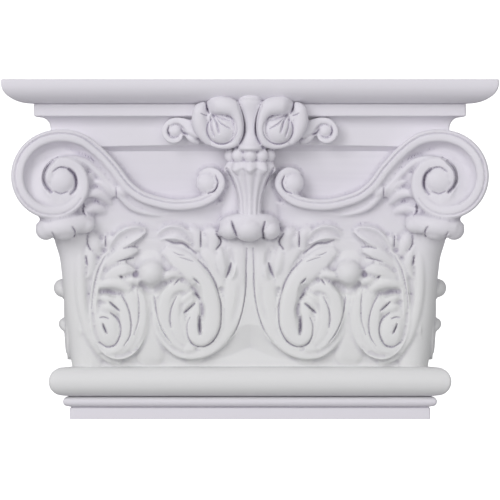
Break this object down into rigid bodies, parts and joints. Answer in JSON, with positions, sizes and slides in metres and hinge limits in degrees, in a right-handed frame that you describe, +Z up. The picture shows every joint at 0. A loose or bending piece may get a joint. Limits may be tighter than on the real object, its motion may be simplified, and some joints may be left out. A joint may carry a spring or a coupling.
{
  "type": "pilaster capital",
  "caption": "Cast pilaster capital with corner volutes, a scrolling tape, a flower under a moulded crown and acanthus leaves on the bell; flat back.",
  "frame": {"origin": "centre of the plinth's underside", "axes": "+X along the wall to the right as seen from the front, +Y back into the wall, +Z up; the front faces -Y"},
  "size_m": [0.4, 0.0987, 0.2738],
  "materials": {
    "primed_foam": "matte white primer over a rigid foam casting"
  },
  "bodies": {
    "root": {"capital": "primed_foam"}
  },
  "joints": []
}
